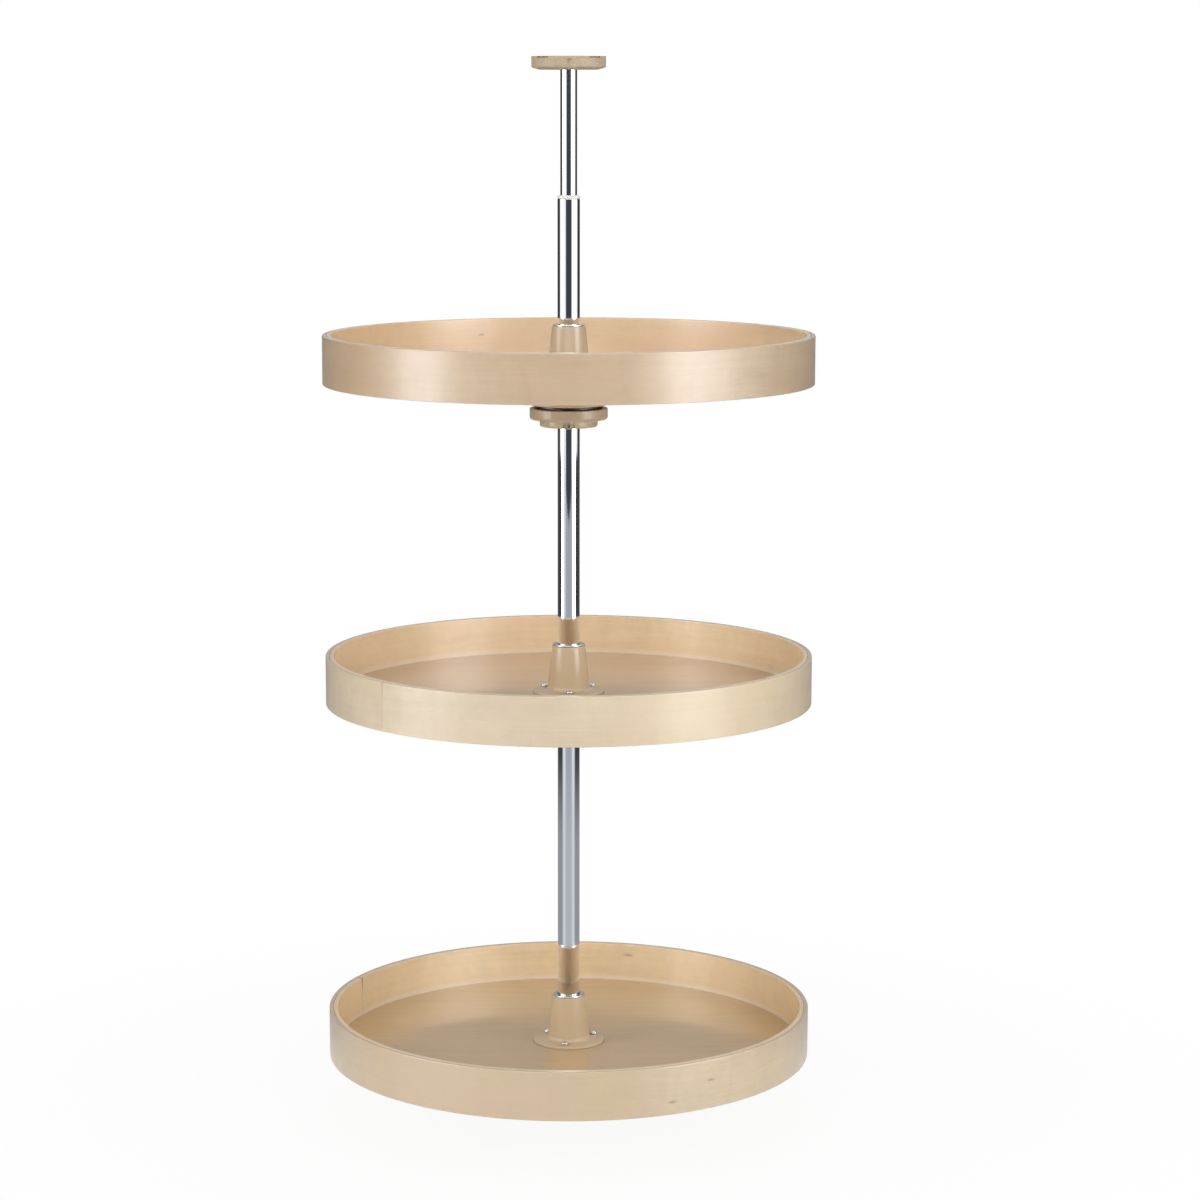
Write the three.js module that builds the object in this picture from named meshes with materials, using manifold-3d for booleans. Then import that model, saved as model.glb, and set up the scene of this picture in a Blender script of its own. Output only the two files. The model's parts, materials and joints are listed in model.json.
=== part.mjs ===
// Rotating pantry shelf: three round bentwood trays that turn on ball bearings, each bearing clamped
// to a telescoping post between a floor flange and a ceiling flange.
// Millimetres, +Z up. The origin is the centre of the floor flange's flat base.
import * as THREE from "three";
import { mergeVertices } from "three/addons/utils/BufferGeometryUtils.js";
import Module from "manifold-3d";

const wasm = await Module();
wasm.setup();

// ---- Driving dimensions ------------------------------------------------------------------------
const OVERALL_HEIGHT = 1223;
const TRAY_RADIUS = 279.4; // 22 inch tray
const RIM_HEIGHT = 55;
const HOOP_THICKNESS = 4.6; // two bent plywood hoops make the rim
const DECK_THICKNESS = 9.5;
const OUTER_TUBE_RADIUS = 12.7; // 1 inch tube
const INNER_TUBE_RADIUS = 9.525; // 3/4 inch tube
const TUBE_WALL = 1.2;
const OUTER_TUBE_TOP = 1064.5;
const INNER_TUBE_BOTTOM = 830;
const SEAT = 0.3; // gap left where two pieces rest on each other
const OVERCUT = 1; // how far a cutting shape reaches past the face that it cuts

// Each tray: the height of its rim's lower edge, where its hoops are butted, and where its screws are.
const TRAYS = [
  { name: "bottom", base: 75, outerSeam: 64, innerSeam: 152, firstScrew: -98 },
  { name: "middle", base: 490, outerSeam: -140, innerSeam: -38, firstScrew: -88 },
  { name: "top", base: 857, outerSeam: 118, innerSeam: -75, firstScrew: -95 },
];

const HOOP_SEGMENTS = 48;
const ROUND_SEGMENTS = 16; // the same on tubes and bores, so that their facets line up
const CLAMP_SEGMENTS = 12;
const SCREW_SEGMENTS = 8;

// Tray rim and deck
const SEAM_WIDTH = 0.5;
const RIM_BEVEL = 1;
const INNER_HOOP_RADIUS = TRAY_RADIUS - HOOP_THICKNESS - SEAT;
const DECK_RADIUS = INNER_HOOP_RADIUS - HOOP_THICKNESS - SEAT;
const DECK_BORE_RADIUS = 25;

// Hub: a tapered sleeve on a round foot, above the deck
const HUB_HEIGHT = 54.7;
const HUB_FOOT_RADIUS = 41.5;
const HUB_FOOT_EDGE = 2.6; // the foot's height at its rim
const HUB_FOOT_CROWN = 4; // the foot's height beside the sleeve
const HUB_FILLET = 3.4;
const HUB_BEVEL = 1;
const HUB_BASE_RADIUS = 24.6;
const HUB_TOP_RADIUS = 19;
const HUB_WALL = 3.2;
const HUB_MOUTH_RADIUS = 15.9;
const HUB_MOUTH_DEPTH = 16;

// Metal ring pressed into the hub's mouth
const RING_RADIUS = 18.3;
const RING_BORE_RADIUS = 13.2;
const RING_FLANGE = 1.5;
const RING_SLEEVE_DEPTH = 14;

// Three screws hold the hub, the deck and the bearing housing together
const SCREWS_PER_HUB = 3;
const SCREW_CIRCLE_RADIUS = 31.5;
const SCREW_SHANK_RADIUS = 2;
const SCREW_HEAD_RADIUS = 4.2;
const SCREW_HEAD_HEIGHT = 2.6;
const SCREW_DEPTH_IN_HOUSING = 12;
const SCREW_HOLE_RADIUS = SCREW_SHANK_RADIUS + SEAT;
const SCREW_HOLE_DEPTH_IN_HOUSING = 14;

// Bearing, measured down from the tray's lower edge
const BEARING_RADIUS = 44.5;
const HOUSING_DEPTH = 25.4;
const HOUSING_WEB = 3.5;
const HOUSING_BORE_RADIUS = 13.7;
const HOUSING_RACE_INNER_RADIUS = 27.5;
const HOUSING_CORE_INNER_RADIUS = 36.5;
const HOUSING_CORE_OUTER_RADIUS = 42;
const HOUSING_CORE_DEPTH = 19;
const RUNNING_GAP = 3.5;
const BALL_RADIUS = 4;
const BALL_CIRCLE_RADIUS = 34;
const BALL_COUNT = 8;
const RACE_CLEARANCE = 0.5;
// The groove's facets lie evenly inside and outside the circle that the balls run on.
const RACE_CIRCLE_RADIUS = BALL_CIRCLE_RADIUS / Math.sqrt(Math.cos(Math.PI / ROUND_SEGMENTS));
const CAGE_HALF_WIDTH = 5;
const CAGE_THICKNESS = 1.6;
const COLLAR_DISC_DEPTH = 42;
const COLLAR_DISC_BEVEL = 3.2;
const COLLAR_DEPTH = 50;
const COLLAR_STEP_RADIUS = 33;
const COLLAR_STEP_BEVEL = 1.8;
const COLLAR_NECK_RADIUS = 19;
const COLLAR_NECK_BASE_RADIUS = 20;
const COLLAR_NECK_TOP = 9;

// Clamp screw in the collar's lower front edge, driven from below at a slant
const CLAMP_TILT = 40; // degrees below level
const CLAMP_HEAD_RADIUS = 6;
const CLAMP_HEAD_HEIGHT = 4.5;
const CLAMP_HEAD_BEVEL = 0.8;
const CLAMP_POCKET_RADIUS = 6.8;
const CLAMP_POCKET_REACH = 12; // out past the head, so that a hex key gets in
const CLAMP_SHANK_RADIUS = 3;
const CLAMP_SOCKET_RADIUS = 2.9;
const CLAMP_SOCKET_DEPTH = 2.5;
const CLAMP_HEAD_OUT = 29; // from the post's axis to the head's outer face
const CLAMP_HEAD_DOWN = 47.5;

// End flanges
const FLANGE_RADIUS = 42;
const FLANGE_HEIGHT = 15;
const FLANGE_EDGE = 13; // the height of its rounded corner
const FLANGE_BEVEL = 2;
const FLANGE_CROWN_RADIUS = 33;
const FLANGE_WEB = 3;
const FLANGE_SCREWS = 4;
const FLANGE_SCREW_CIRCLE = 30.5;
const FLANGE_HOLE_RADIUS = 2.5;
const FLANGE_HEAD_RADIUS = 4.8;
const FLANGE_HEAD_SEAT = 10;
const POCKET_INNER_RADIUS = 17.5;
const POCKET_OUTER_RADIUS = 38;
const POCKET_DEPTH = 11;
const POCKET_HALF_ANGLE = 31;
const RIM_NOTCH_WIDTH = 14;
const RIM_NOTCH_DEPTH = 1.5;
const GRIP_FROM = 3;
const GRIP_TO = 11;
const GRIP_WIDE_RADIUS = 4;
const GRIP_NARROW_RADIUS = 2.4;
const GRIP_OUT = 1.6; // how far its axis stands outside the side wall

// Guide bush at the outer tube's mouth
const BUSH_LIP_HEIGHT = 3.6;
const BUSH_BEVEL = 1.6;
const BUSH_SLEEVE_DEPTH = 30;

// Twist lock at the inner tube's lower end
const LOCK_OFFSET = 1.2; // how far the pin stands off the post's axis
const LOCK_PIN_RADIUS = 4;
const LOCK_PIN_LENGTH = 21;
const LOCK_PLUG_DEPTH = 14;
const LOCK_FLANGE = 2.2;
const LOCK_END_RADIUS = 7;
const LOCK_END_HEIGHT = 3;
const CAM_CLEARANCE = 0.55;
const CAM_SLIT = 2;

// ---- Materials ---------------------------------------------------------------------------------
const finish = (color, roughness, metalness = 0) => ({ color, roughness, metalness });
const BIRCH = finish(0xd9c09a, 0.35);
const MAPLE_PLY = finish(0xc9ad88, 0.3);
const BEIGE_PLASTIC = finish(0xbfa682, 0.25);
const NYLON = finish(0xe9e7e0, 0.5);
const CHROME = finish(0xd6d9dc, 0.12, 1);
const ZINC = finish(0xb9bcc0, 0.3, 1);

// ---- Shape helpers -----------------------------------------------------------------------------
const radians = THREE.MathUtils.degToRad;

// Replaces each corner listed as [radius, height, bevel] with two points, that far from it along its
// two sides.
function bevelled(corners) {
  return corners.flatMap(([radius, height, bevel = 0], i) => {
    const corner = new THREE.Vector2(radius, height);
    if (bevel === 0) return [corner];
    const sides = [corners.at(i - 1), corners[(i + 1) % corners.length]];
    return sides.map(([r, z]) => new THREE.Vector2(r, z).sub(corner).setLength(bevel).add(corner));
  });
}

// A body of revolution about +Z from corners [radius, height] or [radius, height, bevel], listed with
// the material on the left.
function revolve(corners, segments) {
  const points = bevelled(corners);
  if (points[0].x > 0) points.push(points[0].clone());
  return new THREE.LatheGeometry(points, segments).rotateX(Math.PI / 2);
}

function solidOf(geometry) {
  const bare = geometry.clone();
  bare.deleteAttribute("normal");
  bare.deleteAttribute("uv");
  const merged = mergeVertices(bare, 1e-4);
  const triVerts = new Uint32Array(merged.index.array);
  const vertProperties = merged.attributes.position.array;
  return new wasm.Manifold(new wasm.Mesh({ numProp: 3, vertProperties, triVerts }));
}

function geometryOf(solid) {
  const { vertProperties, triVerts } = solid.getMesh();
  const geometry = new THREE.BufferGeometry();
  geometry.setAttribute("position", new THREE.BufferAttribute(vertProperties, 3));
  geometry.setIndex(new THREE.BufferAttribute(triVerts, 1));
  geometry.computeVertexNormals();
  return geometry;
}

function cut(body, tools) {
  return geometryOf(tools.reduce((left, tool) => left.subtract(solidOf(tool)), solidOf(body)));
}

function join(...pieces) {
  return geometryOf(pieces.map(solidOf).reduce((whole, piece) => whole.add(piece)));
}

// A cylinder on +Z between two heights, or a cone frustum where topRadius is given.
function rod(radius, bottom, top, segments, topRadius = radius) {
  const geometry = new THREE.CylinderGeometry(topRadius, radius, top - bottom, segments);
  return geometry.rotateX(Math.PI / 2).translate(0, 0, (bottom + top) / 2);
}

// Moves a shape out along +X and turns it round the post's axis.
function atAngle(geometry, radius, degrees) {
  return geometry.translate(radius, 0, 0).rotateZ(radians(degrees));
}

// Evenly spaced angles, in degrees.
function angles(count, first) {
  return Array.from({ length: count }, (_, i) => first + (i * 360) / count);
}

function piece(name, geometry, look) {
  const mesh = new THREE.Mesh(geometry, new THREE.MeshStandardMaterial(look));
  mesh.name = name;
  return mesh;
}

// ---- Tray --------------------------------------------------------------------------------------
// One bent hoop, open at its butt seam, with a bevel on its upper outer edge.
function hoop(radius, bevel, seam) {
  const ring = revolve(
    [
      [radius - HOOP_THICKNESS, 0],
      [radius, 0],
      [radius, RIM_HEIGHT, bevel],
      [radius - HOOP_THICKNESS, RIM_HEIGHT],
    ],
    HOOP_SEGMENTS,
  );
  const slit = new THREE.BoxGeometry(3 * HOOP_THICKNESS, SEAM_WIDTH, 3 * RIM_HEIGHT);
  return cut(ring, [atAngle(slit, radius - HOOP_THICKNESS / 2, seam)]);
}

// The board has a seat as deep as the hub's gap, so that the hub's foot starts at its upper face.
function deck(screwAngles) {
  const board = rod(DECK_RADIUS, 0, DECK_THICKNESS, HOOP_SEGMENTS);
  const top = DECK_THICKNESS + OVERCUT;
  const bore = rod(DECK_BORE_RADIUS, -OVERCUT, top, ROUND_SEGMENTS);
  const hubSeat = rod(HUB_FOOT_RADIUS + SEAT, DECK_THICKNESS - SEAT, top, ROUND_SEGMENTS);
  return cut(board, [bore, hubSeat, ...screwHoles(screwAngles, -OVERCUT, top)]);
}

function screwHoles(screwAngles, bottom, top) {
  return screwAngles.map((angle) =>
    atAngle(rod(SCREW_HOLE_RADIUS, bottom, top, SCREW_SEGMENTS), SCREW_CIRCLE_RADIUS, angle),
  );
}

// Heights from the deck's upper face.
function hub(screwAngles) {
  const spigotBottom = SEAT - DECK_THICKNESS;
  const body = revolve(
    [
      [HUB_BASE_RADIUS - HUB_WALL, spigotBottom],
      [HUB_BASE_RADIUS, spigotBottom],
      [HUB_BASE_RADIUS, 0],
      [HUB_FOOT_RADIUS, 0],
      [HUB_FOOT_RADIUS, HUB_FOOT_EDGE, HUB_BEVEL],
      [HUB_BASE_RADIUS, HUB_FOOT_CROWN, HUB_FILLET],
      [HUB_TOP_RADIUS, HUB_HEIGHT, HUB_BEVEL],
      [HUB_MOUTH_RADIUS, HUB_HEIGHT],
      [HUB_MOUTH_RADIUS, HUB_HEIGHT - HUB_MOUTH_DEPTH],
      [HUB_BASE_RADIUS - HUB_WALL, HUB_FOOT_CROWN],
    ],
    ROUND_SEGMENTS,
  );
  return cut(body, screwHoles(screwAngles, -OVERCUT, HUB_FOOT_CROWN + OVERCUT));
}

// Heights from the hub's upper face.
function hubRing() {
  return revolve(
    [
      [RING_BORE_RADIUS, -RING_SLEEVE_DEPTH],
      [HUB_MOUTH_RADIUS - SEAT, -RING_SLEEVE_DEPTH],
      [HUB_MOUTH_RADIUS - SEAT, SEAT],
      [RING_RADIUS, SEAT],
      [RING_RADIUS, SEAT + RING_FLANGE],
      [RING_BORE_RADIUS, SEAT + RING_FLANGE],
    ],
    ROUND_SEGMENTS,
  );
}

// Pan head screw with its head's underside at height 0.
function hubScrew(length) {
  return revolve(
    [
      [0, -length],
      [SCREW_SHANK_RADIUS, -length],
      [SCREW_SHANK_RADIUS, 0],
      [SCREW_HEAD_RADIUS, 0],
      [SCREW_HEAD_RADIUS, SCREW_HEAD_HEIGHT / 2],
      [0, SCREW_HEAD_HEIGHT],
    ],
    SCREW_SEGMENTS,
  );
}

// ---- Bearing -----------------------------------------------------------------------------------
// The four corners of a race groove round the ball circle: a flat bottom and two 45 degree flanks,
// all clear of the balls. depth is the groove's depth and side is +1 for a groove cut upwards.
function raceGroove(face, side) {
  const clear = BALL_RADIUS + RACE_CLEARANCE;
  const depth = clear - RUNNING_GAP / 2;
  const halfBottom = clear * Math.tan(Math.PI / 8);
  const halfTop = halfBottom + depth;
  return [
    [RACE_CIRCLE_RADIUS - halfTop, face],
    [RACE_CIRCLE_RADIUS - halfBottom, face + side * depth],
    [RACE_CIRCLE_RADIUS + halfBottom, face + side * depth],
    [RACE_CIRCLE_RADIUS + halfTop, face],
  ];
}

// The half that turns with the tray. Heights from the tray's lower edge.
function bearingHousing(screwAngles) {
  const top = -SEAT;
  const body = revolve(
    [
      [HOUSING_BORE_RADIUS, top - HOUSING_WEB],
      [HOUSING_RACE_INNER_RADIUS, top - HOUSING_WEB],
      [HOUSING_RACE_INNER_RADIUS, -HOUSING_DEPTH],
      ...raceGroove(-HOUSING_DEPTH, 1),
      [BEARING_RADIUS, -HOUSING_DEPTH],
      [BEARING_RADIUS, top],
      [HOUSING_CORE_OUTER_RADIUS, top],
      [HOUSING_CORE_OUTER_RADIUS, -HOUSING_CORE_DEPTH],
      [HOUSING_CORE_INNER_RADIUS, -HOUSING_CORE_DEPTH],
      [HOUSING_CORE_INNER_RADIUS, top],
      [HOUSING_BORE_RADIUS, top],
    ],
    ROUND_SEGMENTS,
  );
  return cut(body, screwHoles(screwAngles, -SCREW_HOLE_DEPTH_IN_HOUSING, OVERCUT));
}

// Ring of balls held by a flat cage, centred on height 0.
function ballCage() {
  const half = CAGE_THICKNESS / 2;
  const cage = revolve(
    [
      [BALL_CIRCLE_RADIUS - CAGE_HALF_WIDTH, -half],
      [BALL_CIRCLE_RADIUS + CAGE_HALF_WIDTH, -half],
      [BALL_CIRCLE_RADIUS + CAGE_HALF_WIDTH, half],
      [BALL_CIRCLE_RADIUS - CAGE_HALF_WIDTH, half],
    ],
    2 * BALL_COUNT,
  );
  const balls = angles(BALL_COUNT, 0).map((angle) =>
    atAngle(
      new THREE.SphereGeometry(BALL_RADIUS, 6, 4).rotateX(Math.PI / 2),
      BALL_CIRCLE_RADIUS,
      angle,
    ),
  );
  return join(cage, ...balls);
}

// The clamp screw's own axis is +Z with its head's outer face at height 0. This places a shape made
// in that frame at the collar's lower front edge, pointing outwards and down.
function atClamp(object) {
  object.rotation.x = radians(90 + CLAMP_TILT);
  object.position.set(0, -CLAMP_HEAD_OUT, -CLAMP_HEAD_DOWN);
  return object;
}

function clampTool(geometry) {
  const placed = atClamp(new THREE.Object3D());
  placed.updateMatrix();
  return geometry.applyMatrix4(placed.matrix);
}

// How far the screw reaches along its slant before its tip meets the post.
function clampReach() {
  const tilt = radians(CLAMP_TILT);
  const tipDrop = CLAMP_SHANK_RADIUS * Math.sin(tilt);
  return (CLAMP_HEAD_OUT - OUTER_TUBE_RADIUS - SEAT - tipDrop) / Math.cos(tilt);
}

// The half that is clamped to the post. Heights from the tray's lower edge.
function bearingCollar() {
  const face = -HOUSING_DEPTH - RUNNING_GAP;
  const boreRadius = OUTER_TUBE_RADIUS + SEAT;
  const body = revolve(
    [
      [boreRadius, -COLLAR_DEPTH],
      [COLLAR_STEP_RADIUS, -COLLAR_DEPTH, COLLAR_STEP_BEVEL],
      [COLLAR_STEP_RADIUS, -COLLAR_DISC_DEPTH],
      [BEARING_RADIUS, -COLLAR_DISC_DEPTH, COLLAR_DISC_BEVEL],
      [BEARING_RADIUS, face],
      ...raceGroove(face, -1).reverse(),
      [COLLAR_NECK_BASE_RADIUS, face],
      [COLLAR_NECK_RADIUS, -COLLAR_NECK_TOP],
      [boreRadius, -COLLAR_NECK_TOP],
    ],
    ROUND_SEGMENTS,
  );
  const pocketFloor = -CLAMP_HEAD_HEIGHT - SEAT;
  const headPocket = rod(CLAMP_POCKET_RADIUS, pocketFloor, CLAMP_POCKET_REACH, CLAMP_SEGMENTS);
  const intoBore = (CLAMP_HEAD_OUT - OUTER_TUBE_RADIUS / 2) / Math.cos(radians(CLAMP_TILT));
  const shankHole = rod(CLAMP_SHANK_RADIUS + SEAT, -intoBore, 0, SCREW_SEGMENTS);
  return cut(body, [clampTool(headPocket), clampTool(shankHole)]);
}

function clampScrew() {
  const body = revolve(
    [
      [0, -clampReach()],
      [CLAMP_SHANK_RADIUS, -clampReach()],
      [CLAMP_SHANK_RADIUS, -CLAMP_HEAD_HEIGHT],
      [CLAMP_HEAD_RADIUS, -CLAMP_HEAD_HEIGHT],
      [CLAMP_HEAD_RADIUS, 0, CLAMP_HEAD_BEVEL],
      [0, 0],
    ],
    CLAMP_SEGMENTS,
  );
  return cut(body, [rod(CLAMP_SOCKET_RADIUS, -CLAMP_SOCKET_DEPTH, OVERCUT, 6)]);
}

// ---- Post --------------------------------------------------------------------------------------
// A moulded flange with its flat face at height 0, cored between four screw spokes from that face,
// and a blind socket of the given radius for the tube.
function endFlange(socketRadius) {
  const body = revolve(
    [
      [0, 0],
      [FLANGE_RADIUS, 0],
      [FLANGE_RADIUS, FLANGE_EDGE, FLANGE_BEVEL],
      [FLANGE_CROWN_RADIUS, FLANGE_HEIGHT],
      [socketRadius, FLANGE_HEIGHT],
      [socketRadius, FLANGE_WEB],
      [0, FLANGE_WEB],
    ],
    ROUND_SEGMENTS,
  );
  const tools = [];
  for (const spoke of angles(FLANGE_SCREWS, 0)) {
    tools.push(flangePocket(spoke + 45));
    tools.push(atAngle(flangeScrewHole(), FLANGE_SCREW_CIRCLE, spoke));
    tools.push(atAngle(gripRecess(), FLANGE_RADIUS, spoke));
    tools.push(atAngle(rimNotch(), FLANGE_RADIUS, spoke + 45));
  }
  return cut(body, tools);
}

function flangePocket(middle) {
  const from = radians(middle - POCKET_HALF_ANGLE);
  const to = radians(middle + POCKET_HALF_ANGLE);
  const outline = new THREE.Shape();
  outline.absarc(0, 0, POCKET_OUTER_RADIUS, from, to, false);
  outline.absarc(0, 0, POCKET_INNER_RADIUS, to, from, true);
  const depth = POCKET_DEPTH + OVERCUT;
  const sector = new THREE.ExtrudeGeometry(outline, { depth, bevelEnabled: false, curveSegments: 3 });
  return sector.translate(0, 0, -OVERCUT);
}

// A through hole with a round counterbore for the screw's head on the rounded side.
function flangeScrewHole() {
  return revolve(
    [
      [0, -OVERCUT],
      [FLANGE_HOLE_RADIUS, -OVERCUT],
      [FLANGE_HOLE_RADIUS, FLANGE_HEAD_SEAT],
      [FLANGE_HEAD_RADIUS, FLANGE_HEAD_SEAT],
      [FLANGE_HEAD_RADIUS, FLANGE_HEIGHT + OVERCUT],
      [0, FLANGE_HEIGHT + OVERCUT],
    ],
    SCREW_SEGMENTS,
  );
}

// Shallow tapered recess moulded into the side wall beside each screw.
function gripRecess() {
  return rod(GRIP_WIDE_RADIUS, GRIP_FROM, GRIP_TO, 6, GRIP_NARROW_RADIUS).translate(GRIP_OUT, 0, 0);
}

// Opens a pocket at the edge of the flat face.
function rimNotch() {
  const across = 3 * (FLANGE_RADIUS - POCKET_OUTER_RADIUS);
  return new THREE.BoxGeometry(across, RIM_NOTCH_WIDTH, 2 * RIM_NOTCH_DEPTH);
}

function tube(radius, bottom, top) {
  const inner = radius - TUBE_WALL;
  const profile = [
    [inner, bottom],
    [radius, bottom],
    [radius, top],
    [inner, top],
  ];
  return revolve(profile, ROUND_SEGMENTS);
}

// Heights from the outer tube's upper end.
function guideBush() {
  const bore = INNER_TUBE_RADIUS + SEAT;
  const sleeve = OUTER_TUBE_RADIUS - TUBE_WALL - SEAT;
  return revolve(
    [
      [bore, -BUSH_SLEEVE_DEPTH],
      [sleeve, -BUSH_SLEEVE_DEPTH],
      [sleeve, SEAT],
      [OUTER_TUBE_RADIUS, SEAT],
      [OUTER_TUBE_RADIUS, SEAT + BUSH_LIP_HEIGHT, BUSH_BEVEL],
      [bore, SEAT + BUSH_LIP_HEIGHT],
    ],
    ROUND_SEGMENTS,
  );
}

// Heights from the inner tube's lower end.
function lockStud() {
  const plugRadius = INNER_TUBE_RADIUS - TUBE_WALL - SEAT;
  const flangeBottom = -SEAT - LOCK_FLANGE;
  const pinBottom = flangeBottom - LOCK_PIN_LENGTH;
  const plug = revolve(
    [
      [0, flangeBottom],
      [INNER_TUBE_RADIUS, flangeBottom],
      [INNER_TUBE_RADIUS, -SEAT],
      [plugRadius, -SEAT],
      [plugRadius, LOCK_PLUG_DEPTH],
      [0, LOCK_PLUG_DEPTH],
    ],
    ROUND_SEGMENTS,
  );
  const pin = rod(LOCK_PIN_RADIUS, pinBottom, flangeBottom + OVERCUT, CLAMP_SEGMENTS);
  const end = rod(LOCK_END_RADIUS, pinBottom - LOCK_END_HEIGHT, pinBottom, CLAMP_SEGMENTS);
  const offset = (geometry) => geometry.translate(LOCK_OFFSET, 0, 0);
  return join(plug, offset(pin), offset(end));
}

// The split nylon cam that turns on the stud's offset pin and wedges in the outer tube.
function lockCam() {
  const top = -2 * SEAT - LOCK_FLANGE;
  const bottom = -LOCK_FLANGE - LOCK_PIN_LENGTH;
  const radius = OUTER_TUBE_RADIUS - TUBE_WALL - CAM_CLEARANCE;
  const body = rod(radius, bottom, top, ROUND_SEGMENTS);
  const hole = rod(LOCK_PIN_RADIUS + SEAT, bottom - OVERCUT, top + OVERCUT, CLAMP_SEGMENTS);
  const slit = new THREE.BoxGeometry(2 * radius, CAM_SLIT, 4 * LOCK_PIN_LENGTH).translate(radius, 0, 0);
  return cut(body, [hole.translate(LOCK_OFFSET, 0, 0), slit]);
}

// ---- Assembly ----------------------------------------------------------------------------------
function postPieces() {
  const group = new THREE.Group();
  const floorFlange = piece("floor_flange", endFlange(OUTER_TUBE_RADIUS + SEAT), BEIGE_PLASTIC);
  const topFlange = piece("top_flange", endFlange(INNER_TUBE_RADIUS + SEAT), BEIGE_PLASTIC);
  topFlange.rotation.x = Math.PI;
  topFlange.position.z = OVERALL_HEIGHT;
  const outerTube = piece(
    "outer_tube",
    tube(OUTER_TUBE_RADIUS, FLANGE_WEB + SEAT, OUTER_TUBE_TOP),
    CHROME,
  );
  const innerTube = piece(
    "inner_tube",
    tube(INNER_TUBE_RADIUS, INNER_TUBE_BOTTOM, OVERALL_HEIGHT - FLANGE_WEB - SEAT),
    CHROME,
  );
  const bush = piece("guide_bush", guideBush(), NYLON);
  bush.position.z = OUTER_TUBE_TOP;
  const stud = piece("lock_stud", lockStud(), NYLON);
  const cam = piece("lock_cam", lockCam(), NYLON);
  stud.position.z = INNER_TUBE_BOTTOM;
  cam.position.z = INNER_TUBE_BOTTOM;
  group.add(floorFlange, topFlange, outerTube, innerTube, bush, stud, cam);
  return group;
}

function trayPieces({ name, base, outerSeam, innerSeam, firstScrew }) {
  const group = new THREE.Group();
  group.position.z = base;
  const screwAngles = angles(SCREWS_PER_HUB, firstScrew);
  const outer = hoop(TRAY_RADIUS, RIM_BEVEL, outerSeam);
  const inner = hoop(INNER_HOOP_RADIUS, 0, innerSeam);
  group.add(piece(`${name}_deck`, deck(screwAngles), MAPLE_PLY));
  group.add(piece(`${name}_outer_hoop`, outer, BIRCH));
  group.add(piece(`${name}_inner_hoop`, inner, BIRCH));

  const hubPiece = piece(`${name}_hub`, hub(screwAngles), BEIGE_PLASTIC);
  hubPiece.position.z = DECK_THICKNESS;
  const ring = piece(`${name}_hub_ring`, hubRing(), CHROME);
  ring.position.z = DECK_THICKNESS + HUB_HEIGHT;
  group.add(hubPiece, ring);

  const headSeat = DECK_THICKNESS + HUB_FOOT_CROWN + SEAT;
  screwAngles.forEach((angle, i) => {
    const screw = hubScrew(headSeat + SCREW_DEPTH_IN_HOUSING);
    const mesh = piece(`${name}_hub_screw_${i + 1}`, atAngle(screw, SCREW_CIRCLE_RADIUS, angle), ZINC);
    mesh.position.z = headSeat;
    group.add(mesh);
  });

  group.add(piece(`${name}_bearing_housing`, bearingHousing(screwAngles), BEIGE_PLASTIC));
  const cage = piece(`${name}_ball_cage`, ballCage(), ZINC);
  cage.position.z = -HOUSING_DEPTH - RUNNING_GAP / 2;
  group.add(cage);
  group.add(piece(`${name}_bearing_collar`, bearingCollar(), BEIGE_PLASTIC));
  group.add(atClamp(piece(`${name}_clamp_screw`, clampScrew(), CHROME)));
  return group;
}

const shelf = new THREE.Group();
shelf.name = "rotating_pantry_shelf";
shelf.add(postPieces());
TRAYS.forEach((tray) => shelf.add(trayPieces(tray)));

export default shelf;
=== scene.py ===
"""Finished look of the rotating pantry shelf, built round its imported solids.

Metres, +Z up, and -Y faces the camera. Places and overall sizes are read from the frame. The values
below are those that a node's box doesn't show, and those of the finer forms: rounded edges, seams,
screw crosses, ball pockets and the grain of the wood.
"""

import json
from math import asin, cos, pi, radians, sin, tan

import bmesh
import bpy
from mathutils import Matrix, Vector


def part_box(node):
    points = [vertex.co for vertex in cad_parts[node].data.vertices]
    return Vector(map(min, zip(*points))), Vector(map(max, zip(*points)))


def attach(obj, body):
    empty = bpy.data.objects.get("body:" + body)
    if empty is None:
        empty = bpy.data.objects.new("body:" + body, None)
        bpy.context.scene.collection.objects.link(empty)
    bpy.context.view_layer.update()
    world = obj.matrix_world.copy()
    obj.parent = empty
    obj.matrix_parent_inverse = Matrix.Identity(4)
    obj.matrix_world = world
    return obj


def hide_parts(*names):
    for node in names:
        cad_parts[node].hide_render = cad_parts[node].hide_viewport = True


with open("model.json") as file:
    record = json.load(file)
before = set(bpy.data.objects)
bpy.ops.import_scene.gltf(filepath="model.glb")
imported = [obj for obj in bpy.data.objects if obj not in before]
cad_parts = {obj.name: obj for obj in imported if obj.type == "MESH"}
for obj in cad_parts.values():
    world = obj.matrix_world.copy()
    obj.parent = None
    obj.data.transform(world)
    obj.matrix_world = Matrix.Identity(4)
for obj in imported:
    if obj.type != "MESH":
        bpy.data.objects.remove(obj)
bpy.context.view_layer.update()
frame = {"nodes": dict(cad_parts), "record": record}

MM = 0.001
TRAYS = ("bottom", "middle", "top")

# ---- Sizes shared with the solids ---------------------------------------------------------------
SEAT = 0.3 * MM  # gap left where two pieces rest on each other
TUBE_WALL = 1.2 * MM

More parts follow.
